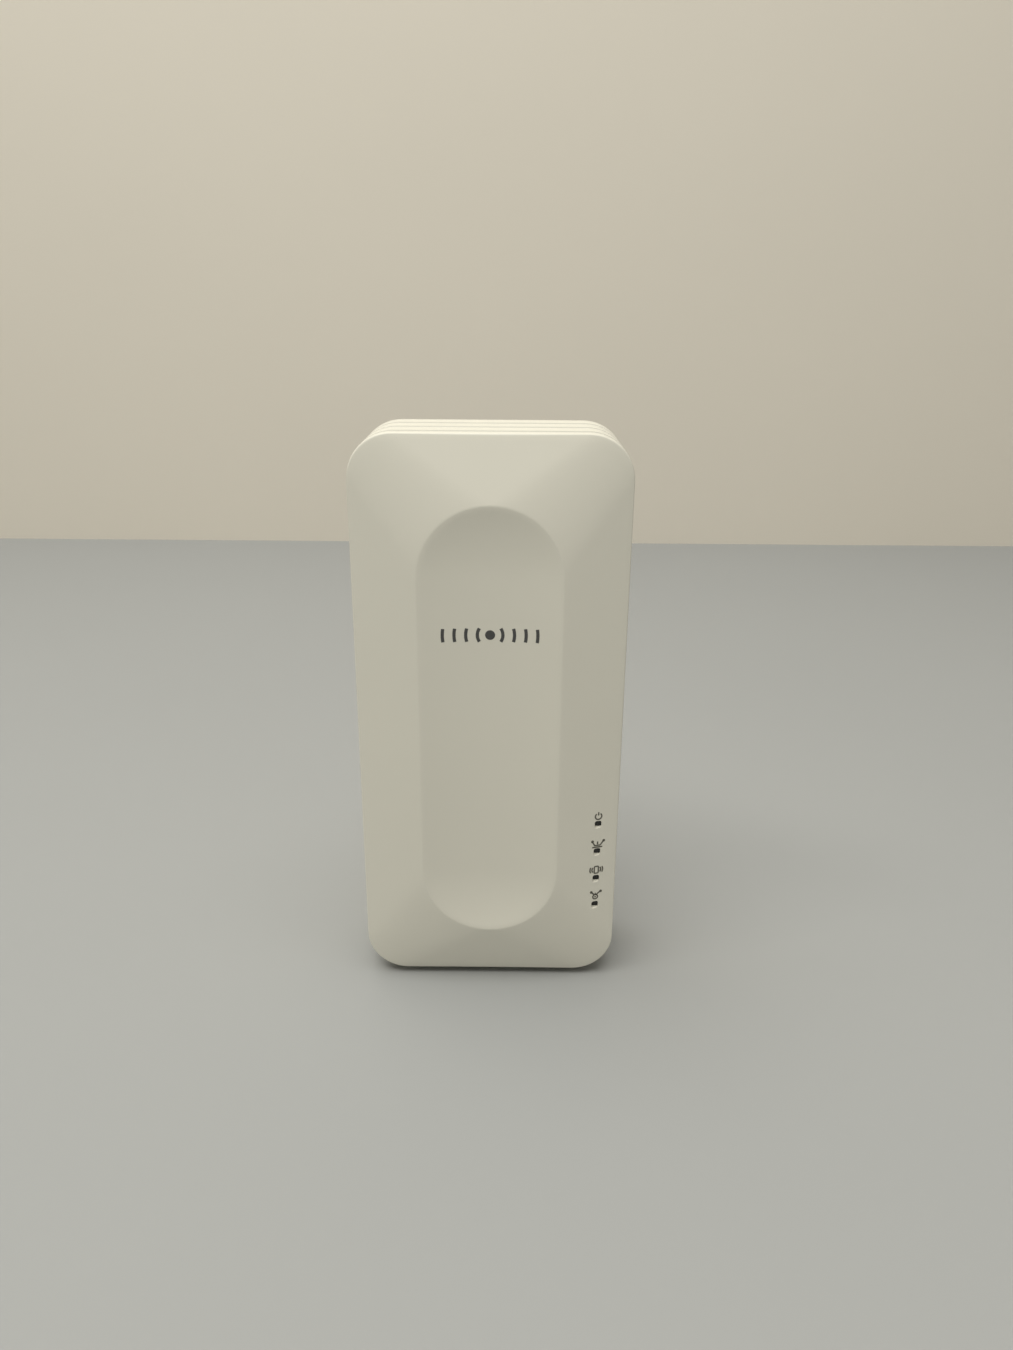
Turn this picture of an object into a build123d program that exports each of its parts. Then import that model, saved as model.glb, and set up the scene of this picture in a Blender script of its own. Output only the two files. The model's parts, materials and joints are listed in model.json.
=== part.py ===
"""Plug-in wireless range extender, in millimetres.

The casing is two white shells: a front cover whose four bevels rise to a stadium-shaped ridge
around a hollow panel, and a deep rear case with grooves round its sides.  Behind the cover stand
the main board and its radio parts, then an insulating sheet, then the mains board with its
transformer.  Two flat mains blades leave the back, and a network socket opens downwards.

Frame: +Z up, the front faces -Y, +X is on the right seen from the front.  The origin is the
middle of the whole object's footprint, on the surface that it stands on.  Inner pieces are placed
by three numbers: x across, depth behind the front outline, and height above the casing's bottom.
"""
import os

from build123d import *

os.makedirs("parts", exist_ok=True)

# Casing
WIDTH = 71.6                # across
HEIGHT = 156.0              # bottom edge to top edge
DEPTH = 28.0                # front outline to back face
CORNER = 11.5               # radius of the four corners seen from the front
RIDGE = 5.07                # how far the ridge stands in front of the front outline
PILL_W, PILL_H = 37.6, 122.4
PILL_R = 18.5               # radius of the ridge's rounded ends
LAND = 0.3                  # flat width of the ridge
DISH = 1.9                  # how deep the hollow panel is at its middle line
FRONT_ROUND = 0.6           # edge between bevels and sides
BACK_ROUND = 0.8            # edge between sides and back
BAND_ROUND = 0.6            # rims of the bands between the grooves
WALL = 2.0                  # front cover
CASE_WALL = 2.4             # rear case, sides
BACK_WALL = 2.2             # rear case, back
GROOVE = 1.5                # width of each groove
GROOVE_DEEP = 1.1
GROOVES = (4.3, 12.4, 20.5)  # depths of the groove centres; the first one is the joint line
FOOT = 2.2                  # height of the plinth under the casing
PLINTH = (50.0, 20.2, 3.0)  # width, depth and corner radius
PLINTH_FRONT = 5.4          # depth of the plinth's front edge

# Mains plug: flat parallel blades, one wider than the other
BLADE_OUT = 17.5
BLADE_GAP = 12.7            # centre to centre
BLADE_THICK = 1.5
BLADE_TALL = {"live_blade": 6.35, "neutral_blade": 7.94}
BLADE_HOLE = (1.6, 11.7)    # radius, and distance from the back face
PLUG_HEIGHT = 105.0
HOLDER = (25.0, 15.0, 3.0)  # width, height and corner radius of its outer face

# Board stack, as depths
BOARD = (5.2, 6.8)          # main board
SHEET = (12.1, 12.4)        # insulating sheet
MAINS = (13.0, 14.6)        # mains board
SINK = (1.0, 2.0)           # base plate of the heat sink
FIN_TIP = -1.0
CAN_FRONT = 2.6             # lids of the shielding cans
BOARD_W, BOARD_LOW, BOARD_HIGH = 63.0, 4.5, 149.5
MAINS_W, MAINS_LOW, MAINS_HIGH = 56.0, 58.0, 140.0

# Fixings, as (x, height)
CASE_FIX = [(side * 27.5, h) for side in (-1, 1) for h in (10.5, HEIGHT - 10.5)]
BOARD_FIX = [(-20.0, 145.0), (20.0, 145.0), (-24.0, 26.0), (24.0, 40.0)]
MAINS_FIX = [(side * 25.0, h) for side in (-1, 1) for h in (63.0, 136.0)]
SEAT = 10.0                 # depth at which the case screws' heads sit

# Status lights down the right-hand bevel
LED_X = 30.1
LED_HEIGHTS = [49.4 - 8.69 * i for i in range(4)]
WINDOW = (1.9, 2.3, 0.6)    # width, height and corner radius
LENS_FRONT = -0.9           # depth of the lenses' faces

# Side buttons
BUTTON_DEPTH = 8.35         # centre of the band between the first two grooves
BUTTON_HEIGHT = 70.0
BUTTON_GAP = 0.25           # running clearance of a cap in its hole
CAP_OUT, CAP_IN = 35.6, 33.0
FLANGE_OUT, FLANGE_IN = 33.15, 32.4
STEM_IN = 30.7
PLUNGER = (27.6, 30.6)      # inner and outer end along x
SWITCH = (23.5, 29.0)       # inner and outer face along x

# Network socket
JACK_X = 10.0
JACK = (16.0, 13.5, 18.0)   # width, depth and length of its metal shell
JACK_MOUTH = -1.7           # height of its open end
JACK_SKIN = 0.25
PORT = (11.8, 8.3, 14.0)    # the cavity that takes the plug
RESET_X, RESET_DEPTH, RESET_R = -14.0, 8.9, 0.8

# The whole object is centred front to back, blades included
FRONT_Y = RIDGE - (RIDGE + DEPTH + BLADE_OUT) / 2
MID_Z = FOOT + HEIGHT / 2
HALF_W = WIDTH / 2
SKIRT = GROOVES[0] - GROOVE / 2     # depth where the front cover ends


def spot(x, depth, height):
    """A point by its place across, depth behind the front outline and height above the casing's bottom."""
    return (x, FRONT_Y + depth, FOOT + height)


def face(depth):
    """A plane parallel to the front at a depth, centred on the casing, facing forwards."""
    return Plane(origin=(0, FRONT_Y + depth, MID_Z), x_dir=(1, 0, 0), z_dir=(0, -1, 0))


def on_face(x, height):
    """A place across and above the casing's bottom, in the coordinates of such a plane."""
    return (x, height - HEIGHT / 2)


def slab(x, height, wide, tall, front, back, mode=Mode.ADD):
    """A box between two depths, centred across and in height."""
    with Locations(spot(x, (front + back) / 2, height)):
        Box(wide, back - front, tall, mode=mode)


def rod(x, height, radius, front, back, mode=Mode.ADD):
    """A cylinder along the depth between two depths."""
    with Locations(spot(x, (front + back) / 2, height)):
        Cylinder(radius, back - front, rotation=(90, 0, 0), mode=mode)


def outline(inset):
    """The casing's front outline, drawn smaller by an inset all round."""
    RectangleRounded(WIDTH - 2 * inset, HEIGHT - 2 * inset, CORNER - inset)


def keep(piece, name):
    """Label a finished piece and write it as its own node."""
    piece.part.label = name
    export_step(piece.part, f"parts/{name}.step")


# ---------------------------------------------------------------- front cover
INNER_SHOULDER = 1.5        # where the inside of the bevels meets the inside of the sides
INNER_RIDGE = -3.15         # where the inside of the bevels ends, under the ridge
TRAY = 1.3                  # how far the panel's backing reaches past the ridge
TRAY_BACK = -1.5
BOSS_R, BOSS_END = 3.0, 5.4

with BuildPart() as dish:
    half_w, straight = PILL_W / 2 - LAND, (PILL_H - PILL_W) / 2
    bend_r = (half_w ** 2 + DISH ** 2) / (2 * DISH)
    middle_y = FRONT_Y - RIDGE + DISH - bend_r
    with BuildSketch(Plane.XZ.offset(-middle_y)):
        with BuildLine():
            Line((0, MID_Z - straight - bend_r), (0, MID_Z + straight + bend_r))
            RadiusArc((0, MID_Z + straight + bend_r), (bend_r, MID_Z + straight), bend_r)
            Line((bend_r, MID_Z + straight), (bend_r, MID_Z - straight))
            RadiusArc((bend_r, MID_Z - straight), (0, MID_Z - straight - bend_r), bend_r)
        make_face()
    revolve(axis=Axis((0, middle_y, 0), (0, 0, 1)))

with BuildPart() as front_cover:
    with BuildSketch(face(0)):
        outline(0)
    with BuildSketch(face(-RIDGE)):
        RectangleRounded(PILL_W, PILL_H, PILL_R)
    loft(ruled=True)
    with BuildSketch(face(0)):
        outline(0)
    extrude(amount=-SKIRT)
    fillet(front_cover.edges().filter_by_position(Axis.Y, FRONT_Y, FRONT_Y), FRONT_ROUND)
    fillet(front_cover.faces().sort_by(Axis.Y)[-1].edges(), BAND_ROUND)
    with BuildSketch(face(SKIRT)):
        outline(WALL)
    extrude(amount=SKIRT - INNER_SHOULDER, mode=Mode.SUBTRACT)
    with BuildSketch(face(INNER_SHOULDER)):
        outline(WALL)
    with BuildSketch(face(INNER_RIDGE)):
        RectangleRounded(PILL_W - 1.2, PILL_H - 1.2, PILL_R - 0.6)
    loft(ruled=True, mode=Mode.SUBTRACT)
    with BuildSketch(face(TRAY_BACK)):
        RectangleRounded(PILL_W + 2 * TRAY, PILL_H + 2 * TRAY, PILL_R + TRAY)
    extrude(amount=TRAY_BACK + RIDGE - 0.8)
    add(dish.part, mode=Mode.SUBTRACT)
    for x, height in CASE_FIX:
        rod(x, height, BOSS_R, 0, BOSS_END)
        rod(x, height, 1.26, 1.2, BOSS_END, mode=Mode.SUBTRACT)
    with BuildSketch(face(-RIDGE)):
        with Locations([on_face(LED_X, h) for h in LED_HEIGHTS]):
            RectangleRounded(*WINDOW)
    extrude(amount=-(RIDGE + SKIRT), mode=Mode.SUBTRACT)
keep(front_cover, "front_cover")

# ------------------------------------------------------------------ rear case
VENT = (8.0, 0.7)           # length and width of the slots inside the grooves
BACK_VENT = (34.0, 1.6)
TONGUE = (1.6, 7.0)         # depths of the lip that enters the front cover
TONGUE_OUT, TONGUE_THICK = WALL + 0.1, 1.2
TUBE_R = 3.6
LABEL = (46.0, 30.0, 0.2)   # width, height and depth of the label's recess
LABEL_HEIGHT = 66.0

BANDS = [(start + GROOVE / 2, stop - GROOVE / 2) for start, stop in zip(GROOVES, GROOVES[1:])]
BANDS.append((GROOVES[-1] + GROOVE / 2, DEPTH))


def band(front, back, back_round):
    """One solid band of the casing's full outline, with its two rims rounded."""
    with BuildPart() as ring:
        with BuildSketch(face(front)):
            outline(0)
        extrude(amount=front - back)
        fillet(ring.faces().sort_by(Axis.Y)[0].edges(), BAND_ROUND)
        fillet(ring.faces().sort_by(Axis.Y)[-1].edges(), back_round)
    return ring.part


bands = [band(*ends, BAND_ROUND) for ends in BANDS[:-1]] + [band(*BANDS[-1], BACK_ROUND)]

with BuildPart() as rear_case:
    with BuildSketch(face(SKIRT)):
        outline(GROOVE_DEEP)
    extrude(amount=-(DEPTH - SKIRT - 1))
    add(bands)
    with BuildSketch(face(SKIRT)):
        outline(CASE_WALL)
    extrude(amount=-(DEPTH - BACK_WALL - SKIRT), mode=Mode.SUBTRACT)
    with BuildSketch(face(TONGUE[0])):
        outline(TONGUE_OUT)
        inset = TONGUE_OUT + TONGUE_THICK
        RectangleRounded(WIDTH - 2 * inset, HEIGHT - 2 * inset, CORNER - inset, mode=Mode.SUBTRACT)
    extrude(amount=-(TONGUE[1] - TONGUE[0]))
    # vent slots on the floors of the two rear grooves, through both sides
    with BuildSketch(Plane.YZ):
        vent_places = [(FRONT_Y + depth, MID_Z + 12 * (i - 4.5)) for depth in GROOVES[1:] for i in range(10)]
        with Locations(vent_places):
            SlotOverall(*VENT, rotation=90)
    extrude(amount=WIDTH, both=True, mode=Mode.SUBTRACT)
    # vent slots low in the back, the plug's opening and the label's recess
    with BuildSketch(face(DEPTH)):
        with Locations(on_face(0, 30)):
            with GridLocations(1, 4.5, 1, 7):
                SlotOverall(*BACK_VENT)
        with Locations(on_face(0, PLUG_HEIGHT)):
            RectangleRounded(*HOLDER)
    extrude(amount=BACK_WALL, mode=Mode.SUBTRACT)
    with BuildSketch(face(DEPTH)):
        with Locations(on_face(0, LABEL_HEIGHT)):
            RectangleRounded(LABEL[0], LABEL[1], 2)
    extrude(amount=LABEL[2], mode=Mode.SUBTRACT)
    # plinth, network socket opening and reset pinhole
    with BuildSketch(Plane(origin=(0, FRONT_Y + PLINTH_FRONT + PLINTH[1] / 2, 0))):
        RectangleRounded(*PLINTH)
    extrude(amount=FOOT + 0.5)
    chamfer(rear_case.faces().sort_by(Axis.Z)[0].edges(), 0.4)
    slab(JACK_X, 0, JACK[0] + 0.4, 8, BOARD[1] - 0.2, BOARD[1] + JACK[1] + 0.2, mode=Mode.SUBTRACT)
    with Locations(spot(RESET_X, RESET_DEPTH, 0)):
        Cylinder(RESET_R, 8, mode=Mode.SUBTRACT)
    # screw tubes, board posts and mains board posts
    for x, height in CASE_FIX:
        rod(x, height, TUBE_R, BOSS_END, DEPTH - 1)
        rod(x, height, 1.5, BOSS_END, DEPTH, mode=Mode.SUBTRACT)
        rod(x, height, 2.6, SEAT, DEPTH, mode=Mode.SUBTRACT)
    for x, height in BOARD_FIX:
        rod(x, height, 2.6, BOARD[1], DEPTH - 1)
        rod(x, height, 1.0, BOARD[1], BOARD[1] + 6, mode=Mode.SUBTRACT)
    for x, height in MAINS_FIX:
        rod(x, height, 2.0, MAINS[1], DEPTH - 1)
    # side button openings, with the lip cut back around them
    slab(0, BUTTON_HEIGHT, WIDTH - 2 * CASE_WALL, 17, TONGUE[0], TONGUE[1], mode=Mode.SUBTRACT)
    with BuildSketch(Plane.YZ.offset(HALF_W - CASE_WALL - 1)):
        with Locations((FRONT_Y + BUTTON_DEPTH, FOOT + BUTTON_HEIGHT)):
            SlotOverall(12 + 2 * BUTTON_GAP, 4.4 + 2 * BUTTON_GAP, rotation=90)
    extrude(amount=5, mode=Mode.SUBTRACT)
    with BuildSketch(Plane.YZ.offset(-HALF_W - 1)):
        with Locations((FRONT_Y + BUTTON_DEPTH, FOOT + BUTTON_HEIGHT)):
            Circle(2.6 + BUTTON_GAP)
    extrude(amount=5, mode=Mode.SUBTRACT)
keep(rear_case, "rear_case")

with BuildPart() as rating_label:
    with BuildSketch(face(DEPTH)):
        with Locations(on_face(0, LABEL_HEIGHT)):
            RectangleRounded(LABEL[0] - 0.6, LABEL[1] - 0.6, 1.7)
    extrude(amount=LABEL[2])
keep(rating_label, "rating_label")


# ---------------------------------------------------------------- plug blades
HOLDER_FRONT, HOLDER_STEP = 22.0, 25.7      # depths of the holder's inner face and of its flange's back
BLADE_FRONT = 16.0                          # depth of the blades' inner ends
BLADE_CLEAR = 0.04

with BuildPart() as plug_holder:
    with BuildSketch(face(DEPTH)):
        with Locations(on_face(0, PLUG_HEIGHT)):
            RectangleRounded(HOLDER[0] - 0.1, HOLDER[1] - 0.1, HOLDER[2] - 0.05)
    extrude(amount=DEPTH - HOLDER_FRONT)
    slab(0, PLUG_HEIGHT, HOLDER[0] + 4, HOLDER[1] + 4, HOLDER_FRONT, HOLDER_STEP)
    for side, tall in zip((-1, 1), BLADE_TALL.values()):
        slab(side * BLADE_GAP / 2, PLUG_HEIGHT, BLADE_THICK + 2 * BLADE_CLEAR, tall + 2 * BLADE_CLEAR,
             HOLDER_FRONT, DEPTH, mode=Mode.SUBTRACT)
keep(plug_holder, "plug_holder")


def blade(side, tall):
    """One mains blade: a flat bar with a rounded, chamfered tip and a round hole near it."""
    with BuildPart() as bar:
        slab(side * BLADE_GAP / 2, PLUG_HEIGHT, BLADE_THICK, tall, BLADE_FRONT, DEPTH + BLADE_OUT)
        tip_edges = bar.faces().sort_by(Axis.Y)[-1].edges()
        fillet(tip_edges.filter_by(Axis.X), 1.6)
        chamfer(bar.faces().sort_by(Axis.Y)[-1].edges().filter_by(Axis.Z), 0.4)
        with Locations(spot(side * BLADE_GAP / 2, DEPTH + BLADE_HOLE[1], PLUG_HEIGHT)):
            Cylinder(BLADE_HOLE[0], 2 * BLADE_THICK, rotation=(0, 90, 0), mode=Mode.SUBTRACT)
    return bar


for side, (name, tall) in zip((-1, 1), BLADE_TALL.items()):
    keep(blade(side, tall), name)

LEAF = 0.4                  # thickness of the sprung leaves that grip the blades
with BuildPart() as blade_contacts:
    for side in (-1, 1):
        x = side * BLADE_GAP / 2
        slab(x, PLUG_HEIGHT, 4.6, 5, MAINS[1], MAINS[1] + LEAF)
        for leaf in (-1, 1):
            offset = leaf * (BLADE_THICK + LEAF) / 2
            slab(x + offset, PLUG_HEIGHT, LEAF, 5, MAINS[1] + LEAF, 20.5)
keep(blade_contacts, "blade_contacts")

# ----------------------------------------------------------------- main board
with BuildPart() as main_board:
    middle = (BOARD_LOW + BOARD_HIGH) / 2
    with BuildSketch(face(BOARD[0])):
        with Locations(on_face(0, middle)):
            Rectangle(46.6, BOARD_HIGH - BOARD_LOW)
            Rectangle(BOARD_W, BOARD_HIGH - BOARD_LOW - 20.6)
        with Locations([on_face(*place) for place in BOARD_FIX]):
            Circle(1.2, mode=Mode.SUBTRACT)
    extrude(amount=-(BOARD[1] - BOARD[0]))
keep(main_board, "main_board")

CHIP = 1.2                  # thickness of the flat chips
with BuildPart() as processor:
    slab(2, 62, 17, 17, BOARD[0] - CHIP, BOARD[0])
keep(processor, "processor")

with BuildPart() as memory_chips:
    for height in (55, 69):
        slab(-14.5, height, 8, 11, BOARD[0] - CHIP, BOARD[0])
keep(memory_chips, "memory_chips")

with BuildPart() as radio_chips:
    for x in (-10.5, 10.5):
        slab(x, 112, 10, 10, BOARD[0] - CHIP, BOARD[0])
        for lift in (-14, 14):
            slab(x, 112 + lift, 4, 4, BOARD[0] - CHIP, BOARD[0])
keep(radio_chips, "radio_chips")

CANS = [(62, 38), (112, 44)]    # height and size of the two shielding cans
CAN_W, CAN_SKIN = 44.0, 0.3
with BuildPart() as shield_cans:
    for height, tall in CANS:
        slab(0, height, CAN_W, tall, CAN_FRONT, BOARD[0])
    for height, tall in CANS:
        slab(0, height, CAN_W - 2 * CAN_SKIN, tall - 2 * CAN_SKIN, CAN_FRONT + CAN_SKIN, BOARD[0],
             mode=Mode.SUBTRACT)
keep(shield_cans, "shield_cans")

with BuildPart() as thermal_pads:
    for height, tall in CANS:
        slab(0, height, CAN_W - 12, tall - 12, SINK[1], CAN_FRONT)
keep(thermal_pads, "thermal_pads")

with BuildPart() as heat_sink:
    slab(0, 89, 44, 92, *SINK)
    for x in range(-21, 22, 3):
        slab(x, 89, 1, 92, FIN_TIP, SINK[0])
keep(heat_sink, "heat_sink")

# --------------------------------------------------------------- status lights
GUIDE_BAR = (1.2, 2.2)      # depths of the bar that joins the light guide's four posts
MASK = (2.3, 5.1)           # depths of the dark strip that keeps the lights apart
LED_CHIP = 0.6
LEDS_TALL = LED_HEIGHTS[0] - LED_HEIGHTS[-1]
LEDS_MIDDLE = (LED_HEIGHTS[0] + LED_HEIGHTS[-1]) / 2

with BuildPart() as light_guide:
    with BuildSketch(face(LENS_FRONT)):
        with Locations([on_face(LED_X, h) for h in LED_HEIGHTS]):
            RectangleRounded(WINDOW[0] - 0.1, WINDOW[1] - 0.1, WINDOW[2] - 0.05)
    extrude(amount=-(4.3 - LENS_FRONT))
    slab(LED_X, LEDS_MIDDLE, 2.6, LEDS_TALL + 5, *GUIDE_BAR)
keep(light_guide, "light_guide")

with BuildPart() as light_mask:
    slab(LED_X - 0.4, LEDS_MIDDLE, 3.4, LEDS_TALL + 6, *MASK)
    for height in LED_HEIGHTS:
        slab(LED_X, height, WINDOW[0] + 0.1, WINDOW[1] + 0.1, *MASK, mode=Mode.SUBTRACT)
keep(light_mask, "light_mask")

with BuildPart() as status_leds:
    for height in LED_HEIGHTS:
        slab(LED_X, height, 0.8, 1.6, BOARD[0] - LED_CHIP, BOARD[0])
keep(status_leds, "status_leds")

# --------------------------------------------------------------- network socket
JACK_MID = BOARD[1] + JACK[1] / 2
JACK_TOP = JACK_MOUTH + JACK[2]
PORT_FRONT = 9.6            # depth of the plug cavity's front wall
LATCH = (6.2, 2.4, 8.0)     # width, depth and length of the slot for the plug's latch

with BuildPart() as jack_shield:
    middle = (JACK_MOUTH + JACK_TOP) / 2
    slab(JACK_X, middle, JACK[0], JACK[2], BOARD[1], BOARD[1] + JACK[1])
    slab(JACK_X, middle - JACK_SKIN, JACK[0] - 2 * JACK_SKIN, JACK[2],
         BOARD[1] + JACK_SKIN, BOARD[1] + JACK[1] - JACK_SKIN, mode=Mode.SUBTRACT)
keep(jack_shield, "jack_shield")

PORT_BACK = PORT_FRONT + PORT[1]
with BuildPart() as jack_body:
    top = JACK_TOP - JACK_SKIN
    slab(JACK_X, (JACK_MOUTH + top) / 2, JACK[0] - 2 * JACK_SKIN, top - JACK_MOUTH,
         BOARD[1] + JACK_SKIN, BOARD[1] + JACK[1] - JACK_SKIN)
    slab(JACK_X, JACK_MOUTH + PORT[2] / 2, PORT[0], PORT[2], PORT_FRONT, PORT_BACK, mode=Mode.SUBTRACT)
    slab(JACK_X, JACK_MOUTH + LATCH[2] / 2, LATCH[0], LATCH[2], PORT_BACK, PORT_BACK + LATCH[1] / 2,
         mode=Mode.SUBTRACT)
keep(jack_body, "jack_body")

with BuildPart() as jack_contacts:
    for i in range(8):
        with Locations(spot(JACK_X + 1.02 * (i - 3.5), PORT_FRONT + 0.7, JACK_MOUTH + 8.4)):
            Box(0.4, 0.35, 9.0, rotation=(5, 0, 0))
keep(jack_contacts, "jack_contacts")

with BuildPart() as ethernet_transformer:
    slab(JACK_X, 27, 16, 9.6, BOARD[1], BOARD[1] + 4)
    chamfer(ethernet_transformer.edges().filter_by(Axis.Z), 0.4)
keep(ethernet_transformer, "ethernet_transformer")

with BuildPart() as filter_inductors:
    for x in (-14, -5):
        slab(x, 40, 6, 6, BOARD[1], BOARD[1] + 3)
    chamfer(filter_inductors.edges().filter_by(Axis.Y), 0.8)
keep(filter_inductors, "filter_inductors")


# --------------------------------------------------------------- side buttons
STEM = (1.8, 3.0)           # depth and height of a button's stem
TIP = (1.6, 2.6)            # depth and height of a switch plunger
TIP_GAP = 0.05


def side_block(side, near, far, deep, tall, mode=Mode.ADD):
    """A box between two distances from the middle, on one side, centred on the button's axis."""
    with Locations(spot(side * (near + far) / 2, BUTTON_DEPTH, BUTTON_HEIGHT)):
        Box(far - near, deep, tall, mode=mode)


def side_button(side, cap, flange):
    """A push button: its cap through the wall, the flange that holds it in, and its stem."""
    with BuildPart() as button:
        for shape, start, finish in ((cap, CAP_IN, CAP_OUT), (flange, FLANGE_IN, FLANGE_OUT)):
            with BuildSketch(Plane.YZ.offset(side * start)):
                with Locations((FRONT_Y + BUTTON_DEPTH, FOOT + BUTTON_HEIGHT)):
                    SlotOverall(*shape, rotation=90)
            extrude(amount=side * (finish - start))
        outer = button.faces().sort_by(Axis.X)[0 if side < 0 else -1]
        fillet(outer.edges(), 0.3)
        side_block(side, STEM_IN, FLANGE_IN, *STEM)
    return button


def side_switch(side):
    """A side-acting switch body on the main board, with the bore that its plunger runs in."""
    with BuildPart() as switch:
        slab(side * sum(SWITCH) / 2, BUTTON_HEIGHT, SWITCH[1] - SWITCH[0], 6.2, BOARD[1], BOARD[1] + 3.6)
        side_block(side, PLUNGER[0] - 0.8, SWITCH[1], TIP[0] + 2 * TIP_GAP, TIP[1] + 2 * TIP_GAP,
                   mode=Mode.SUBTRACT)
    return switch


def side_plunger(side):
    """The switch's plunger, resting just clear of the button's stem."""
    with BuildPart() as plunger:
        side_block(side, *PLUNGER, *TIP)
    return plunger


for side, name, cap, flange in ((1, "wps", (12.0, 4.4), (14.0, 5.6)), (-1, "power", (5.2, 5.199), (6.4, 6.399))):
    keep(side_button(side, cap, flange), f"{name}_button")
    keep(side_switch(side), f"{name}_switch")
    keep(side_plunger(side), f"{name}_plunger")

# The reset switch lies on the board above its pinhole, and its plunger points down
RESET_LOW, RESET_HIGH = 7.0, 11.0
with BuildPart() as reset_switch:
    slab(RESET_X, (RESET_LOW + RESET_HIGH) / 2, 6, RESET_HIGH - RESET_LOW, BOARD[1], BOARD[1] + 3.8)
    with Locations(spot(RESET_X, RESET_DEPTH, RESET_LOW + 1)):
        Box(2.7, 1.7, 2, mode=Mode.SUBTRACT)
keep(reset_switch, "reset_switch")

with BuildPart() as reset_plunger:
    with Locations(spot(RESET_X, RESET_DEPTH, RESET_LOW + 0.2)):
        Box(2.6, 1.6, 2.6)
keep(reset_plunger, "reset_plunger")

# ------------------------------------------------------- mains board and sheet
LINK_HEIGHT = 61.0
LINK = (11.0, 3.0)          # width and height of the connectors that join the boards
LINK_MEET = 10.8            # depth where header and socket meet

with BuildPart() as insulation_sheet:
    with BuildSketch(face(SHEET[0])):
        with Locations(on_face(0, (MAINS_LOW + MAINS_HIGH) / 2)):
            RectangleRounded(MAINS_W + 1.6, MAINS_HIGH - MAINS_LOW + 1.6, 2)
        with Locations(on_face(0, LINK_HEIGHT)):
            Rectangle(LINK[0] + 0.4, LINK[1] + 0.4, mode=Mode.SUBTRACT)
    extrude(amount=-(SHEET[1] - SHEET[0]))
keep(insulation_sheet, "insulation_sheet")

PIN_X = [2.54 * (i - 1.5) for i in range(4)]
with BuildPart() as power_board:
    slab(0, (MAINS_LOW + MAINS_HIGH) / 2, MAINS_W, MAINS_HIGH - MAINS_LOW, *MAINS)
    for x in PIN_X:
        slab(x, LINK_HEIGHT, 0.7, 0.7, *MAINS, mode=Mode.SUBTRACT)
keep(power_board, "power_board")

with BuildPart() as link_header:
    slab(0, LINK_HEIGHT, *LINK, LINK_MEET, MAINS[0])
    for x in PIN_X:
        slab(x, LINK_HEIGHT, 0.64, 0.64, BOARD[1] + 1.2, MAINS[1] + 1)
keep(link_header, "link_header")

with BuildPart() as link_socket:
    slab(0, LINK_HEIGHT, *LINK, BOARD[1], LINK_MEET)
    for x in PIN_X:
        slab(x, LINK_HEIGHT, 0.72, 0.72, BOARD[1] + 1, LINK_MEET, mode=Mode.SUBTRACT)
keep(link_socket, "link_socket")

# Parts on the back of the mains board
BENCH = MAINS[1]
TRAFO_HEIGHT = 83.0

with BuildPart() as transformer_core:
    slab(0, TRAFO_HEIGHT, 22, 17, BENCH + 1.2, BENCH + 10.4)
    for side in (-1, 1):
        slab(side * 6.6, TRAFO_HEIGHT, 5.6, 17, BENCH + 3.2, BENCH + 8.4, mode=Mode.SUBTRACT)
keep(transformer_core, "transformer_core")

with BuildPart() as transformer_winding:
    slab(0, TRAFO_HEIGHT, 18.4, 16.4, BENCH + 3.4, BENCH + 8.2)
    slab(0, TRAFO_HEIGHT, 8.0, 17.2, BENCH + 3.1, BENCH + 8.5, mode=Mode.SUBTRACT)
keep(transformer_winding, "transformer_winding")

with BuildPart() as bulk_capacitors:
    for x in (-4.9, 4.9):
        with Locations(spot(x, BENCH + 4.7, 127)):
            Cylinder(4.5, 18)
    fillet(bulk_capacitors.edges().filter_by(GeomType.CIRCLE), 0.6)
keep(bulk_capacitors, "bulk_capacitors")

with BuildPart() as output_capacitors:
    for x in (-10, 10):
        rod(x, 67, 4.0, BENCH, BENCH + 10)
    fillet(output_capacitors.faces().filter_by(Axis.Y).group_by(Axis.Y)[-1].edges(), 0.5)
keep(output_capacitors, "output_capacitors")

with BuildPart() as safety_capacitor:
    slab(20, 106, 6, 13, BENCH, BENCH + 9.5)
    fillet(safety_capacitor.edges(), 0.5)
keep(safety_capacitor, "safety_capacitor")

with BuildPart() as fuse:
    with Locations(spot(-20, BENCH + 2.8, 106)):
        Cylinder(2.3, 10)
    for height in (100.5, 111.5):
        with Locations(spot(-20, BENCH + 2.8, height)):
            Cylinder(2.6, 2.4)
keep(fuse, "fuse")

with BuildPart() as choke_core:
    with Locations(spot(17, BENCH + 4.0, 127)):
        Cylinder(6.0, 4.4, rotation=(90, 0, 0))
        Cylinder(3.0, 4.4, rotation=(90, 0, 0), mode=Mode.SUBTRACT)
keep(choke_core, "choke_core")

with BuildPart() as choke_winding:
    with BuildSketch(face(BENCH + 4.0)):
        with Locations(on_face(17, 127)):
            Circle(6.8)
            Circle(2.3, mode=Mode.SUBTRACT)
            Rectangle(3, 16, mode=Mode.SUBTRACT)
    extrude(amount=3.0, both=True)
    add(choke_core.part, mode=Mode.SUBTRACT)
keep(choke_winding, "choke_winding")

with BuildPart() as bridge_rectifier:
    slab(-17, 128, 8, 7, BENCH, BENCH + 3)
    chamfer(bridge_rectifier.edges().filter_by(Axis.Y).sort_by(Axis.X)[0], 1.2)
keep(bridge_rectifier, "bridge_rectifier")

with BuildPart() as power_controller:
    slab(-19, 89, 5, 6, BENCH, BENCH + 1.8)
keep(power_controller, "power_controller")

with BuildPart() as optocoupler:
    slab(19, 92, 4.6, 6.6, BENCH, BENCH + 3.6)
keep(optocoupler, "optocoupler")

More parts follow.
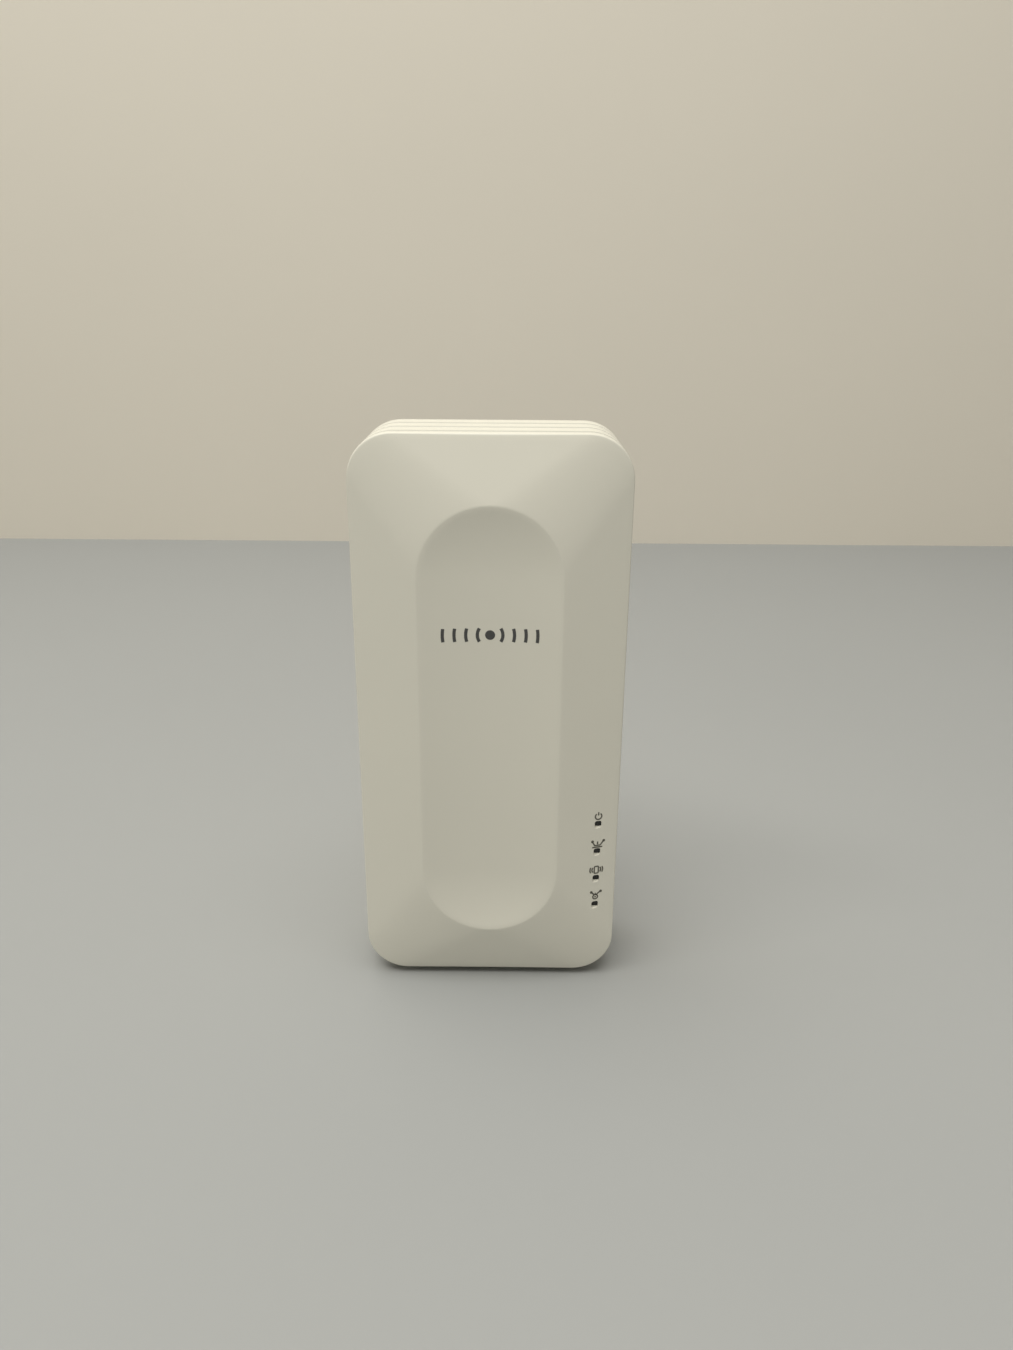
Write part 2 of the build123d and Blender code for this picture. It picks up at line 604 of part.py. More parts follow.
with BuildPart() as output_inductor:
    rod(19, 78, 3.2, BENCH, BENCH + 8)
    for front in (BENCH, BENCH + 7):
        rod(19, 78, 4.2, front, front + 1)
keep(output_inductor, "output_inductor")


# ------------------------------------------------------------ aerials and leads
LEAD_R = 0.57
AERIAL = (0.7, 8.0)         # thickness and width of each aerial strip
SIDE_ROUTE = [(31.9, 15.0, 108), (31.9, 15.0, 98), (30.6, 8.0, 90), (26.8, 7.7, 84)]
TOP_ROUTE = [(20.0, 14.0, 152.1), (12.0, 14.0, 152.1), (8.5, 9.0, 147), (8.5, 7.7, 139)]
BEND = 0.45                 # share of the shorter run that each arc takes


def bend_radii(points):
    """The largest tangent arc at each corner, from its two runs and the turn between them."""
    radii = []
    for before, corner, after in zip(points, points[1:], points[2:]):
        arriving, leaving = Vector(*corner) - Vector(*before), Vector(*after) - Vector(*corner)
        half_turn = arriving.get_angle(leaving) / 2
        shorter = min(arriving.length, leaving.length)
        radii.append(BEND * shorter / Plane.XY.x_dir.rotate(Axis.Z, half_turn).Y
                     * Plane.XY.x_dir.rotate(Axis.Z, half_turn).X)
    return radii


def lead(side, route):
    """A thin coaxial lead: straight runs joined by tangent arcs, from an aerial to its connector."""
    points = [spot(side * x, depth, height) for x, depth, height in route]
    radii = bend_radii(points)
    print("lead radii", [round(r, 1) for r in radii])
    with BuildPart() as cord:
        with BuildLine() as path:
            FilletPolyline(*points, radius=radii)
        with BuildSketch(Plane(origin=path.line @ 0, z_dir=path.line % 0)):
            Circle(LEAD_R)
        sweep(path=path.line)
    return cord


for side, name in ((-1, "left"), (1, "right")):
    with BuildPart() as side_aerial:
        wall = HALF_W - CASE_WALL
        with Locations(spot(side * (wall - 0.05 - AERIAL[0] / 2), 16.4, 118)):
            Box(AERIAL[0], AERIAL[1], 36)
    keep(side_aerial, f"aerial_side_{name}")
    with BuildPart() as top_aerial:
        with Locations(spot(side * 13.5, 15.0, HEIGHT - CASE_WALL - 0.05 - AERIAL[0] / 2)):
            Box(20, AERIAL[1], AERIAL[0])
    keep(top_aerial, f"aerial_top_{name}")
    keep(lead(side, SIDE_ROUTE), f"lead_side_{name}")
    keep(lead(side, TOP_ROUTE), f"lead_top_{name}")

with BuildPart() as lead_connectors:
    for side in (-1, 1):
        for x, depth, height in (SIDE_ROUTE[-1], TOP_ROUTE[-1]):
            rod(side * x, height, 1.3, BOARD[1], BOARD[1] + 1.7)
keep(lead_connectors, "lead_connectors")


# --------------------------------------------------------------------- screws
def screws(places, seat, head, shank, toward):
    """Pan-head screws: heads (radius, height) on a seat, shanks (radius, length) the other way.

    toward is +1 where the shanks run backwards and -1 where they run to the front.
    """
    with BuildPart() as group:
        for x, height in places:
            ends = sorted((seat, seat - toward * head[1]))
            rod(x, height, head[0], *ends)
            ends = sorted((seat, seat + toward * shank[1]))
            rod(x, height, shank[0], *ends)
            top = seat - toward * head[1]
            slot_ends = sorted((top, top + toward * head[1] / 2))
            slab(x, height, 2.4, 0.6, *slot_ends, mode=Mode.SUBTRACT)
            slab(x, height, 0.6, 2.4, *slot_ends, mode=Mode.SUBTRACT)
    return group


keep(screws(CASE_FIX, SEAT, (2.4, 1.8), (1.25, 8.4), -1), "case_screws")
keep(screws(BOARD_FIX, BOARD[0], (2.2, 1.5), (0.98, 7.0), 1), "board_screws")
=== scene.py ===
import json
from math import cos, radians, sin

import bmesh
import bpy
import numpy as np
from mathutils import Matrix, Vector


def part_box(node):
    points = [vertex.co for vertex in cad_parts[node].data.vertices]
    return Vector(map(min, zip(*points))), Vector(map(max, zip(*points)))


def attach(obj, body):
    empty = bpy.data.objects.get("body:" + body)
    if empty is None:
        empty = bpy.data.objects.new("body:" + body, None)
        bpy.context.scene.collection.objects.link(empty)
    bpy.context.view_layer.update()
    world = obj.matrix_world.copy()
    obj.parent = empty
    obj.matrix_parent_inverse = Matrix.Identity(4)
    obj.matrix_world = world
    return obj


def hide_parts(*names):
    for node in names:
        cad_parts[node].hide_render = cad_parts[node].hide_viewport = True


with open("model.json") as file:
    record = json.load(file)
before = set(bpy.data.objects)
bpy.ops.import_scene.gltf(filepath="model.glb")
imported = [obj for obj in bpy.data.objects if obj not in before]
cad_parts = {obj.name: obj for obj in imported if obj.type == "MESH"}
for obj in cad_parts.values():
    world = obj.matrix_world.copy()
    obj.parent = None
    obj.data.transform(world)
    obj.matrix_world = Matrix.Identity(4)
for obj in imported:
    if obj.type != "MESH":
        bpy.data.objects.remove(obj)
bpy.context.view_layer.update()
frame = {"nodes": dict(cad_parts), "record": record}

bl_info = {
    "name": "Wireless range extender",
    "version": (1, 0, 0),
    "blender": (4, 5, 0),
    "location": "View3D > Sidebar > Extender",
    "description": "Builds the visible pieces and finishes of a plug-in wireless range extender",
    "category": "Object",
}

# ------------------------------------------------------------------ the frame
# Lengths are in millimetres, depths run back from the casing's front outline, and heights up from the
# casing's bottom, which metres() turns into the frame.  Names that end in _M are in metres.
MM = 0.001
COVER_LOW, COVER_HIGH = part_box("front_cover")
RIDGE = 5.07                                    # ridge in front of the casing's front outline, mm
HALF_W = COVER_HIGH.x / MM
FOOT = COVER_LOW.z / MM                         # height of the plinth
HALF_H = (COVER_HIGH.z - COVER_LOW.z) / MM / 2
FRONT_Y = COVER_LOW.y / MM + RIDGE              # the front outline's plane
CORNER = 11.5                                   # radius of the casing's corners
PILL_HALF_W, PILL_HALF_H, PILL_R = 18.8, 61.2, 18.5     # the ridge's outline
LAND, DISH = 0.3, 1.9                           # the ridge's flat, and the hollow panel's depth
DISH_HALF_W = PILL_HALF_W - LAND
DISH_STRAIGHT = PILL_HALF_H - PILL_HALF_W
SKIRT = 3.55                                    # depth where the front cover ends
WALL = 2.0
RIM, INNER_RIM = 0.6, 0.2                       # rounding of the cover's rear rim, outside and inside
LINING_START, LINING_FLOOR = 1.5, -1.5          # depths where the lining starts, and of its floor
LINING_PEAK = -2.55                             # depth of the lining behind the ridge
LINING_MARGIN = 1.3                             # how much wider than the ridge the lining's floor is
LED_X = 30.1
LED_HEIGHTS = [49.4 - 8.69 * i for i in range(4)]
WINDOW = (1.9, 2.3, 0.6)                        # a light window's width, height and corner radius
LENS_FRONT = -0.9                               # depth of the lenses' faces
SILL_RISE, SILL_SLOPE = 0.35, 0.44              # each window's sill, which falls to the outside
CUT_BACK, CUT_FRONT, CUT_STEP = 2.6, -4.0, 0.005    # reach of the window cutter, and length of its step
MARK_HEIGHT, LABEL_HEIGHT = 105.3, 66.0
LABEL_LIFT = 0.012                              # how far the label's print stands above it
GROOVE_ROWS_M = [(FRONT_Y + depth) * MM for depth in (4.3, 12.4, 20.5)]     # the grooves' middles, in y
GROOVE_SHADE_HALF_M, GROOVE_SHADE_FADE_M = 0.7 * MM, 0.7 * MM       # half width of the shade painted in a groove, and its soft edge
PLINTH_TOP_M = (FOOT - 0.05) * MM               # the plinth below this has no grooves


def metres(points):
    """Points given as x, depth and height in millimetres, in the frame and in metres."""
    points = np.asarray(points, float)
    return np.stack(
        [points[..., 0], points[..., 1] + FRONT_Y, points[..., 2] + FOOT], axis=-1) * MM


# ------------------------------------------------------------- mesh from numpy
def grid_faces(rows, columns, wrap_rows=False, wrap_columns=True, first=0):
    """Quads of a grid numbered row by row: each joins a point, its neighbours and the one across."""
    i = np.arange(rows if wrap_rows else rows - 1)
    j = np.arange(columns if wrap_columns else columns - 1)
    i, j = (a.ravel() for a in np.meshgrid(i, j, indexing="ij"))
    down, right = (i + 1) % rows, (j + 1) % columns
    quads = np.stack([i * columns + j, i * columns + right, down * columns + right, down * columns + j], 1)
    return quads + first


def make_object(name, points, faces, smooth=True):
    """A mesh object at the origin from an array of points in metres and a list of faces."""
    mesh = bpy.data.meshes.new(name)
    mesh.from_pydata(points.reshape(-1, 3).tolist(), [], [list(map(int, f)) for f in faces])
    mesh.update()
    mesh.polygons.foreach_set("use_smooth", np.full(len(mesh.polygons), smooth))
    piece = bpy.data.objects.new(name, mesh)
    bpy.context.scene.collection.objects.link(piece)
    return piece


def tidy_mesh(piece, merge=1e-6):
    """Merges doubled points, drops faces that this flattens, and turns every face outwards."""
    work = bmesh.new()
    work.from_mesh(piece.data)
    bmesh.ops.remove_doubles(work, verts=work.verts, dist=merge)
    bmesh.ops.dissolve_degenerate(work, dist=merge, edges=work.edges)
    bmesh.ops.recalc_face_normals(work, faces=work.faces)
    work.to_mesh(piece.data)
    work.free()
    piece.data.update()


def apply_modifiers(piece):
    """Replaces a piece's mesh with the one its modifiers give."""
    graph = bpy.context.evaluated_depsgraph_get()
    graph.update()
    mesh = bpy.data.meshes.new_from_object(piece.evaluated_get(graph))
    piece.modifiers.clear()
    piece.data = mesh


def sharpen(piece, angle):
    """Marks edges sharper than an angle, in degrees, so that smooth shading stops at them."""
    piece.data.set_sharp_from_angle(angle=radians(angle))


def round_rect(half_w, half_h, radius, per_corner=16, per_side=10):
    """A rounded rectangle as one ring of points, anticlockwise from its right side's foot.

    Each corner is a quarter circle cut into equal angles, and each side is cut into equal parts,
    so rings of any size made with the same counts pair up point by point.
    """
    ring = []
    for quarter in range(4):
        angle = np.linspace(0, np.pi / 2, per_corner + 1) + quarter * np.pi / 2
        centre = np.array([
            (half_w - radius) * (1 if quarter in (0, 3) else -1),
            (half_h - radius) * (1 if quarter in (0, 1) else -1)])
        arc = centre + radius * np.stack([np.cos(angle), np.sin(angle)], 1)
        ring.append(arc)
    sides = []
    for k in range(4):
        start, stop = ring[k - 1][-1], ring[k][0]
        share = np.linspace(0, 1, per_side + 2)[1:-1, None]
        sides += [start + (stop - start) * share, ring[k]]
    return np.concatenate(sides)


def bend(a, corner, b, steps):
    """A quadratic curve from a to b that leaves and arrives along the lines to the corner."""
    t = np.linspace(0, 1, steps)[:, None, None]
    return (1 - t) ** 2 * a + 2 * t * (1 - t) * corner + t ** 2 * b


# -------------------------------------------------------------- shader helpers
class Reading:
    """A shader socket whose arithmetic adds Math nodes."""

    def __init__(self, finish, socket):
        self.finish, self.socket = finish, socket

    def _maths(self, operation, *values):
        node = self.finish.node("ShaderNodeMath", {"operation": operation}, *values)
        return Reading(self.finish, node.outputs[0])

    def __add__(self, other):
        return self._maths("ADD", self, other)

    __radd__ = __add__

    def __sub__(self, other):
        return self._maths("SUBTRACT", self, other)

    def __rsub__(self, other):
        return self._maths("SUBTRACT", other, self)

    def __mul__(self, other):
        return self._maths("MULTIPLY", self, other)

    __rmul__ = __mul__

    def __truediv__(self, other):
        return self._maths("DIVIDE", self, other)

    def __gt__(self, other):
        return self._maths("GREATER_THAN", self, other)

    def __lt__(self, other):
        return self._maths("LESS_THAN", self, other)

    def __abs__(self):
        return self._maths("ABSOLUTE", self)

    def clamped(self):
        """The value held between 0 and 1."""
        node = self.finish.node("ShaderNodeClamp", {}, self)
        return Reading(self.finish, node.outputs[0])


class Finish:
    """A material being built round one Principled shader."""

    def __init__(self, name, colour=None, **values):
        self.material = bpy.data.materials.new(name)
        self.material.use_nodes = True
        self.tree = self.material.node_tree
        self.tree.nodes.clear()
        self.shader = self.node("ShaderNodeBsdfPrincipled")
        output = self.tree.nodes.new("ShaderNodeOutputMaterial")
        self.tree.links.new(self.shader.outputs[0], output.inputs["Surface"])
        if colour is not None:
            self.shader.inputs["Base Color"].default_value = (*colour, 1)
            self.material.diffuse_color = (*colour, 1)
        for key, value in values.items():
            self.shader.inputs[key.replace("_", " ").title().replace("Ior", "IOR")].default_value = value
        self.place = Reading(self, self.node("ShaderNodeTexCoord").outputs["Object"])

    def node(self, kind, settings=None, *sockets, **named):
        """A node of a type, with its settings made first and then its sockets' values or links."""
        node = self.tree.nodes.new(kind)
        for key, value in (settings or {}).items():
            setattr(node, key, value)
        for where, value in [*enumerate(sockets), *named.items()]:
            socket = node.inputs[where if isinstance(where, int) else where.replace("_", " ")]
            if isinstance(value, Reading):
                self.tree.links.new(value.socket, socket)
            else:
                socket.default_value = value
        return node

    def noise(self, scale, detail=3.0, roughness=0.5, place=None):
        """Fractal noise from 0 to 1, at a scale in waves per metre."""
        node = self.node("ShaderNodeTexNoise", {}, Vector=place or self.place, Scale=scale,
                         Detail=detail, Roughness=roughness)
        return Reading(self, node.outputs["Fac"])

    def cells(self, scale):
        """Distance to the nearest of scattered points, at a scale in cells per metre."""
        node = self.node("ShaderNodeTexVoronoi", {"feature": "F1"}, Vector=self.place, Scale=scale)
        return Reading(self, node.outputs["Distance"])

    def axes(self):
        """The x, y and z of the place, each a number."""
        node = self.node("ShaderNodeSeparateXYZ", {}, self.place)
        return [Reading(self, out) for out in node.outputs]

    def stretched(self, x, y, z):
        """The place with each axis scaled, for patterns drawn out along one of them."""
        node = self.node("ShaderNodeMapping", {}, self.place, Scale=(x, y, z))
        return Reading(self, node.outputs[0])

    def mixed(self, share, first, second):
        """A colour between two others."""
        node = self.node("ShaderNodeMix", {"data_type": "RGBA"})
        for socket, value in ((node.inputs[0], share), (node.inputs[6], first), (node.inputs[7], second)):
            if isinstance(value, Reading):
                self.tree.links.new(value.socket, socket)
            else:
                is_colour = isinstance(value, tuple) and len(value) == 3
                socket.default_value = (*value, 1) if is_colour else value
        return Reading(self, node.outputs[2])

    def turned(self):
        """The place with x and z as the plane, for patterns on the boards' faces."""
        node = self.node("ShaderNodeMapping", {}, self.place, Rotation=(radians(90), 0, 0))
        return Reading(self, node.outputs[0])

    def ranged(self, value, low, high):
        """A value from 0 to 1 spread between two others."""
        return value * (high - low) + low

    def feed(self, name, value):
        """Links a value to one of the shader's inputs."""
        self.tree.links.new(value.socket, self.shader.inputs[name])

    def bump(self, height, depth, strength=1.0):
        """Surface relief of a given depth in metres, from a height from 0 to 1."""
        node = self.node("ShaderNodeBump", {}, Strength=strength, Distance=depth, Height=height)
        self.feed("Normal", Reading(self, node.outputs[0]))


def tint(colour, share):
    """A colour made darker or lighter by a share."""
    return tuple(min(1.0, c * share) for c in colour)


# ------------------------------------------------------------------- finishes
FINISHES = {}               # each slot's material, once the finishes are made


def moulded(name, colour, rough=0.45, grain=0.5):
    """Moulded plastic: fine spark-eroded grain, faint clouding and a few polished or scuffed patches."""
    finish = Finish(name, colour, roughness=rough, specular_ior_level=0.4)
    cloud = finish.noise(28, 3)
    finish.feed("Base Color", finish.mixed(cloud, tint(colour, 0.97), tint(colour, 1.015)))
    patches = finish.noise(140, 4, 0.6)
    finish.feed("Roughness", finish.ranged(patches, rough - 0.06, rough + 0.08))
    texture = finish.noise(9000, 2, 0.6)
    finish.bump(texture, 0.00001 * grain, 0.6)
    return finish.material


def casing_white(name, colour):
    """The casing's satin white: fine grain, warm clouding, specks of dust, and painted shade in the
    grooves, a darker colour standing in for their shadow, which fades out over their rounded edges."""
    finish = Finish(name, colour, roughness=0.42, specular_ior_level=0.42)
    cloud = finish.noise(24, 4)
    base = finish.mixed(cloud, tint(colour, 0.97), tint(colour, 1.015))
    specks = finish.cells(520) < 0.035
    spots = finish.noise(60, 2) > 0.62
    depth, height = finish.axes()[1:]
    # painted shade: the casing's colour is darkened to 0.6 across each groove and its rounded edges, in
    # place of the shadow there, but not on the plinth below PLINTH_TOP_M
    groove_shade_mask = sum(1 - ((abs(depth - row) - GROOVE_SHADE_HALF_M) / GROOVE_SHADE_FADE_M).clamped()
                for row in GROOVE_ROWS_M)
    groove_shaded = finish.mixed(groove_shade_mask * (height > PLINTH_TOP_M), base, tint(colour, 0.6))
    # the specks are real dust, laid over the painted groove shade
    dust_and_groove_shade = finish.mixed(specks * spots * 0.35, groove_shaded, tint(colour, 0.55))
    finish.feed("Base Color", dust_and_groove_shade)
    rub = finish.noise(90, 5, 0.65)
    fine = finish.noise(1500, 2)
    finish.feed("Roughness", finish.ranged(rub * 0.7 + fine * 0.3, 0.36, 0.52))
    grain = finish.noise(7000, 2, 0.55)
    finish.bump(grain, 0.000006, 0.6)
    return finish.material


def plated(name, colour, rough=0.3, along=(1, 1, 1)):
    """Plated or drawn metal: fine lines along its length and slightly duller rubbed patches."""
    finish = Finish(name, colour, roughness=rough, metallic=1.0)
    lines = finish.noise(5000, 3, 0.6, place=finish.stretched(*along))
    wear = finish.noise(260, 4, 0.6)
    finish.feed("Base Color", finish.mixed(wear, tint(colour, 0.86), tint(colour, 1.06)))
    finish.feed("Roughness", finish.ranged(lines * 0.5 + wear * 0.5, rough - 0.1, rough + 0.16))
    finish.bump(lines, 0.000004, 0.5)
    return finish.material


def laminate(name, colour):
    """Circuit board: solder mask over copper tracks, which show as slightly raised lighter lines."""
    finish = Finish(name, colour, roughness=0.32, specular_ior_level=0.5, coat_weight=0.3)
    tracks = finish.node("ShaderNodeTexBrick", {"offset": 0.37, "squash": 1.6, "squash_frequency": 3},
                         Vector=finish.turned(), Scale=160.0, Mortar_Size=0.07,
                         Brick_Width=1.3, Row_Height=0.22)
    lines = Reading(finish, tracks.outputs["Fac"])
    holes = finish.cells(330) < 0.1
    masked = finish.mixed(lines, colour, tint(colour, 1.9))
    finish.feed("Base Color", finish.mixed(holes, masked, (0.62, 0.48, 0.2)))
    finish.feed("Metallic", holes * 0.9)
    finish.bump(lines, 0.00003, 0.7)
    return finish.material


def epoxy(name, colour):
    """Moulded chip epoxy: near black with a fine glassy fleck."""
    finish = Finish(name, colour, roughness=0.62)
    fleck = finish.noise(5200, 3, 0.7)
    finish.feed("Base Color", finish.mixed(fleck, tint(colour, 0.7), tint(colour, 1.7)))
    finish.feed("Roughness", finish.ranged(fleck, 0.5, 0.75))
    finish.bump(fleck, 0.000012)
    return finish.material


def soft(name, colour, pores=1400.0):
    """Rubber, foam or silicone: matt with open pores."""
    finish = Finish(name, colour, roughness=0.85, specular_ior_level=0.25)
    pore = finish.cells(pores)
    finish.feed("Base Color", finish.mixed(pore, tint(colour, 0.6), tint(colour, 1.25)))
    finish.bump(pore, 0.00006)
    return finish.material


def wound(name, colour, turns=1800.0, axis=2, metallic=1.0):
    """Enamelled wire or wound tape: bands side by side across one axis."""
    finish = Finish(name, colour, roughness=0.35, metallic=metallic, coat_weight=0.5)
    lay = finish.axes()[axis] * turns
    wave = finish.node("ShaderNodeMath", {"operation": "PINGPONG"}, lay, 0.5)
    ripple = Reading(finish, wave.outputs[0]) * 2
    patch = finish.noise(200, 3)
    shade = ripple * 0.6 + patch * 0.4
    finish.feed("Base Color", finish.mixed(shade, tint(colour, 0.55), tint(colour, 1.1)))
    finish.bump(ripple, 0.0001)
    return finish.material


def film(name, colour, gloss=0.25):
    """Sleeve, tape or film: smooth and glossy with faint waves and rubbed patches."""
    finish = Finish(name, colour, roughness=gloss, specular_ior_level=0.5)
    wave = finish.noise(120, 3)
    finish.feed("Base Color", finish.mixed(wave, tint(colour, 0.85), tint(colour, 1.12)))
    finish.feed("Roughness", finish.ranged(wave, gloss - 0.08, gloss + 0.15))
    finish.bump(wave, 0.00005, 0.5)
    return finish.material


def ink(name, colour):
    """Pad-printed ink: matt, with a slightly broken surface."""
    finish = Finish(name, colour, roughness=0.6)
    broken = finish.noise(3800, 3, 0.7)
    finish.feed("Base Color", finish.mixed(broken, tint(colour, 0.8), tint(colour, 1.3)))
    finish.feed("Roughness", finish.ranged(broken, 0.5, 0.75))
    finish.bump(broken, 0.00001, 0.5)
    return finish.material


def floor_paint(name, colour):
    """A plain matt stage surface with a barely visible mottling."""
    finish = Finish(name, colour, roughness=0.75, specular_ior_level=0.3)
    cloud = finish.noise(7, 4)
    finish.feed("Base Color", finish.mixed(cloud, tint(colour, 0.985), tint(colour, 1.015)))
    return finish.material


# ----------------------------------------------------------------- properties
class ExtenderSizes(bpy.types.PropertyGroup):
    """Sizes of the made pieces."""

    front_round: bpy.props.FloatProperty(
        name="Front edge", description="Rounding between the bevels and the sides",
        default=0.6 * MM, min=0.1 * MM, max=1.5 * MM, unit="LENGTH")
    ridge_round: bpy.props.FloatProperty(
        name="Ridge", description="Rounding of the ridge round the hollow panel",
        default=0.35 * MM, min=0.05 * MM, max=0.8 * MM, unit="LENGTH")
    print_height: bpy.props.FloatProperty(
        name="Print height", description="How far printed marks stand above the plastic",
        default=0.03 * MM, min=0.01 * MM, max=0.1 * MM, unit="LENGTH")


class ExtenderColours(bpy.types.PropertyGroup):
    """Colours of the main finishes."""

    casing: bpy.props.FloatVectorProperty(
        name="Casing", description="White of the casing", subtype="COLOR", size=3,
        default=(0.815, 0.792, 0.69), min=0, max=1)
    mark: bpy.props.FloatVectorProperty(
        name="Mark", description="Dark grey of the mark on the front", subtype="COLOR", size=3,
        default=(0.07, 0.07, 0.068), min=0, max=1)
    icons: bpy.props.FloatVectorProperty(
        name="Icons", description="Grey of the icons beside the status lights", subtype="COLOR", size=3,
        default=(0.10, 0.095, 0.075), min=0, max=1)
    floor: bpy.props.FloatVectorProperty(
        name="Floor", description="Pale floor", subtype="COLOR", size=3,
        default=(0.388, 0.397, 0.392), min=0, max=1)
    backdrop: bpy.props.FloatVectorProperty(
        name="Backdrop", description="Pale warm backdrop", subtype="COLOR", size=3,
        default=(0.80, 0.75, 0.65), min=0, max=1)


class ExtenderLights(bpy.types.PropertyGroup):
    """Strengths of the studio lights."""

    overhead: bpy.props.FloatProperty(
        name="Overhead", description="Large soft light above", default=13.9, min=0)
    front: bpy.props.FloatProperty(
        name="Front", description="Long soft light above and in front", default=8.6, min=0)
    surround: bpy.props.FloatProperty(
        name="Surround", description="Even light from all round", default=0.25, min=0)


def sizes():
    """The size properties of the current scene."""
    return bpy.context.scene.extender_sizes


def colours():
    """The colour properties of the current scene."""
    return bpy.context.scene.extender_colours


def coat(piece, material, body="casing"):
    """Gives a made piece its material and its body."""
    piece.data.materials.clear()
    piece.data.materials.append(material)
    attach(piece, body)
    return piece


# ---------------------------------------------------------------------- stage
CAMERA_PLACE = (5.234, FRONT_Y - 251.444, FOOT + 188.334)
CAMERA_PITCH, CAMERA_YAW, CAMERA_ROLL = 20.74, -0.216, 0.397
LENS = 27.04
BACKDROP_Y = 0.535          # this and the stage's other places and sizes are in metres
OVERHEAD_TINT, FRONT_TINT = (0.985, 0.975, 0.94), (1.0, 0.975, 0.90)
STAGE_HALF = 2.2
LIGHTS_AIM = (0, 0, 0.08)
OVERHEAD_PLACE, OVERHEAD_SIZE = (-0.12, -0.12, 1.5), (1.5, 0.9)
FRONT_PLACE, FRONT_SIZE = (-0.4, -0.65, 1.35), (1.3, 0.25)
SURROUND_TINT = (1.0, 0.975, 0.92)


class EXTENDER_OT_stage(bpy.types.Operator):
    """Makes the floor, the backdrop, the lights and the camera"""

    bl_idname = "extender.stage"
    bl_label = "Stage"

    def execute(self, context):
        floor = make_object("floor", np.array([
            [-STAGE_HALF, -STAGE_HALF, 0], [STAGE_HALF, -STAGE_HALF, 0],
            [STAGE_HALF, BACKDROP_Y, 0], [-STAGE_HALF, BACKDROP_Y, 0]]), [(0, 1, 2, 3)], smooth=False)
        floor.data.materials.append(floor_paint("floor_paint", tuple(colours().floor)))
        wall = make_object("backdrop", np.array([
            [-STAGE_HALF, BACKDROP_Y, 0], [STAGE_HALF, BACKDROP_Y, 0],
            [STAGE_HALF, BACKDROP_Y, STAGE_HALF], [-STAGE_HALF, BACKDROP_Y, STAGE_HALF]]),
            [(3, 2, 1, 0)], smooth=False)
        wall.data.materials.append(floor_paint("backdrop_paint", tuple(colours().backdrop)))
        lights = context.scene.extender_lights
        self.area("overhead_light", OVERHEAD_PLACE, OVERHEAD_SIZE, lights.overhead, OVERHEAD_TINT)
        self.area("front_light", FRONT_PLACE, FRONT_SIZE, lights.front, FRONT_TINT)
        world = bpy.data.worlds.new("surround")
        world.use_nodes = True
        background = world.node_tree.nodes["Background"].inputs
        background["Color"].default_value = (*SURROUND_TINT, 1)
        background["Strength"].default_value = lights.surround
        context.scene.world = world
        context.scene.view_settings.view_transform = "Standard"
        self.camera(context)
        return {"FINISHED"}

    @staticmethod
    def area(name, place, size, power, colour):
        """A rectangular soft light at a place, turned to the object's middle."""
        light = bpy.data.lights.new(name, "AREA")
        light.shape = "RECTANGLE"
        light.size, light.size_y = size
        light.energy, light.color = power, colour
        lamp = bpy.data.objects.new(name, light)
        lamp.location = place
        aim = Vector(LIGHTS_AIM) - Vector(place)
        lamp.rotation_euler = aim.to_track_quat("-Z", "Y").to_euler()
        bpy.context.scene.collection.objects.link(lamp)

    @staticmethod
    def camera(context):
        """The camera above and in front, looking slightly down."""
        pitch, yaw, roll = (radians(a) for a in (CAMERA_PITCH, CAMERA_YAW, CAMERA_ROLL))
        forward = Vector((sin(yaw) * cos(pitch), cos(yaw) * cos(pitch), -sin(pitch)))
        level = Vector((cos(yaw), -sin(yaw), 0))
        upward = level.cross(forward)
        right = cos(roll) * level + sin(roll) * upward
        up = cos(roll) * upward - sin(roll) * level
        data = bpy.data.cameras.new("camera")
        data.lens, data.sensor_width, data.sensor_fit = LENS, 36.0, "AUTO"
        data.clip_start = 0.01
        camera = bpy.data.objects.new("camera", data)
        turn = Matrix((right, up, -forward)).transposed().to_4x4()
        camera.matrix_world = Matrix.Translation(Vector(CAMERA_PLACE) * MM) @ turn
        context.scene.collection.objects.link(camera)
        context.scene.camera = camera


# ---------------------------------------------------------------- front cover
def dish_depth(x, height):
    """Depth of the hollow panel below the ridge at a place measured from its middle.

    The hollow is a capsule pressed into the ridge: a circular arc across, whose distance from the
    middle is measured to a straight line up the panel, and to that line's ends beyond them.
    """
    bend_r = (DISH_HALF_W ** 2 + DISH ** 2) / (2 * DISH)
    off = np.hypot(x, np.maximum(np.abs(height) - DISH_STRAIGHT, 0))
    return np.clip(np.sqrt(bend_r ** 2 - np.minimum(off, bend_r) ** 2) - (bend_r - DISH), 0, DISH)


def ring_at(ring, depth):
    """A ring of x, z points with a depth put between them; the depth may differ from point to point."""
    return np.stack([ring[:, 0], np.broadcast_to(depth, len(ring)), ring[:, 1]], 1)


def inset(margin):
    """The casing's outline, moved inwards by a margin."""
    return round_rect(HALF_W - margin, HALF_H - margin, CORNER - margin)


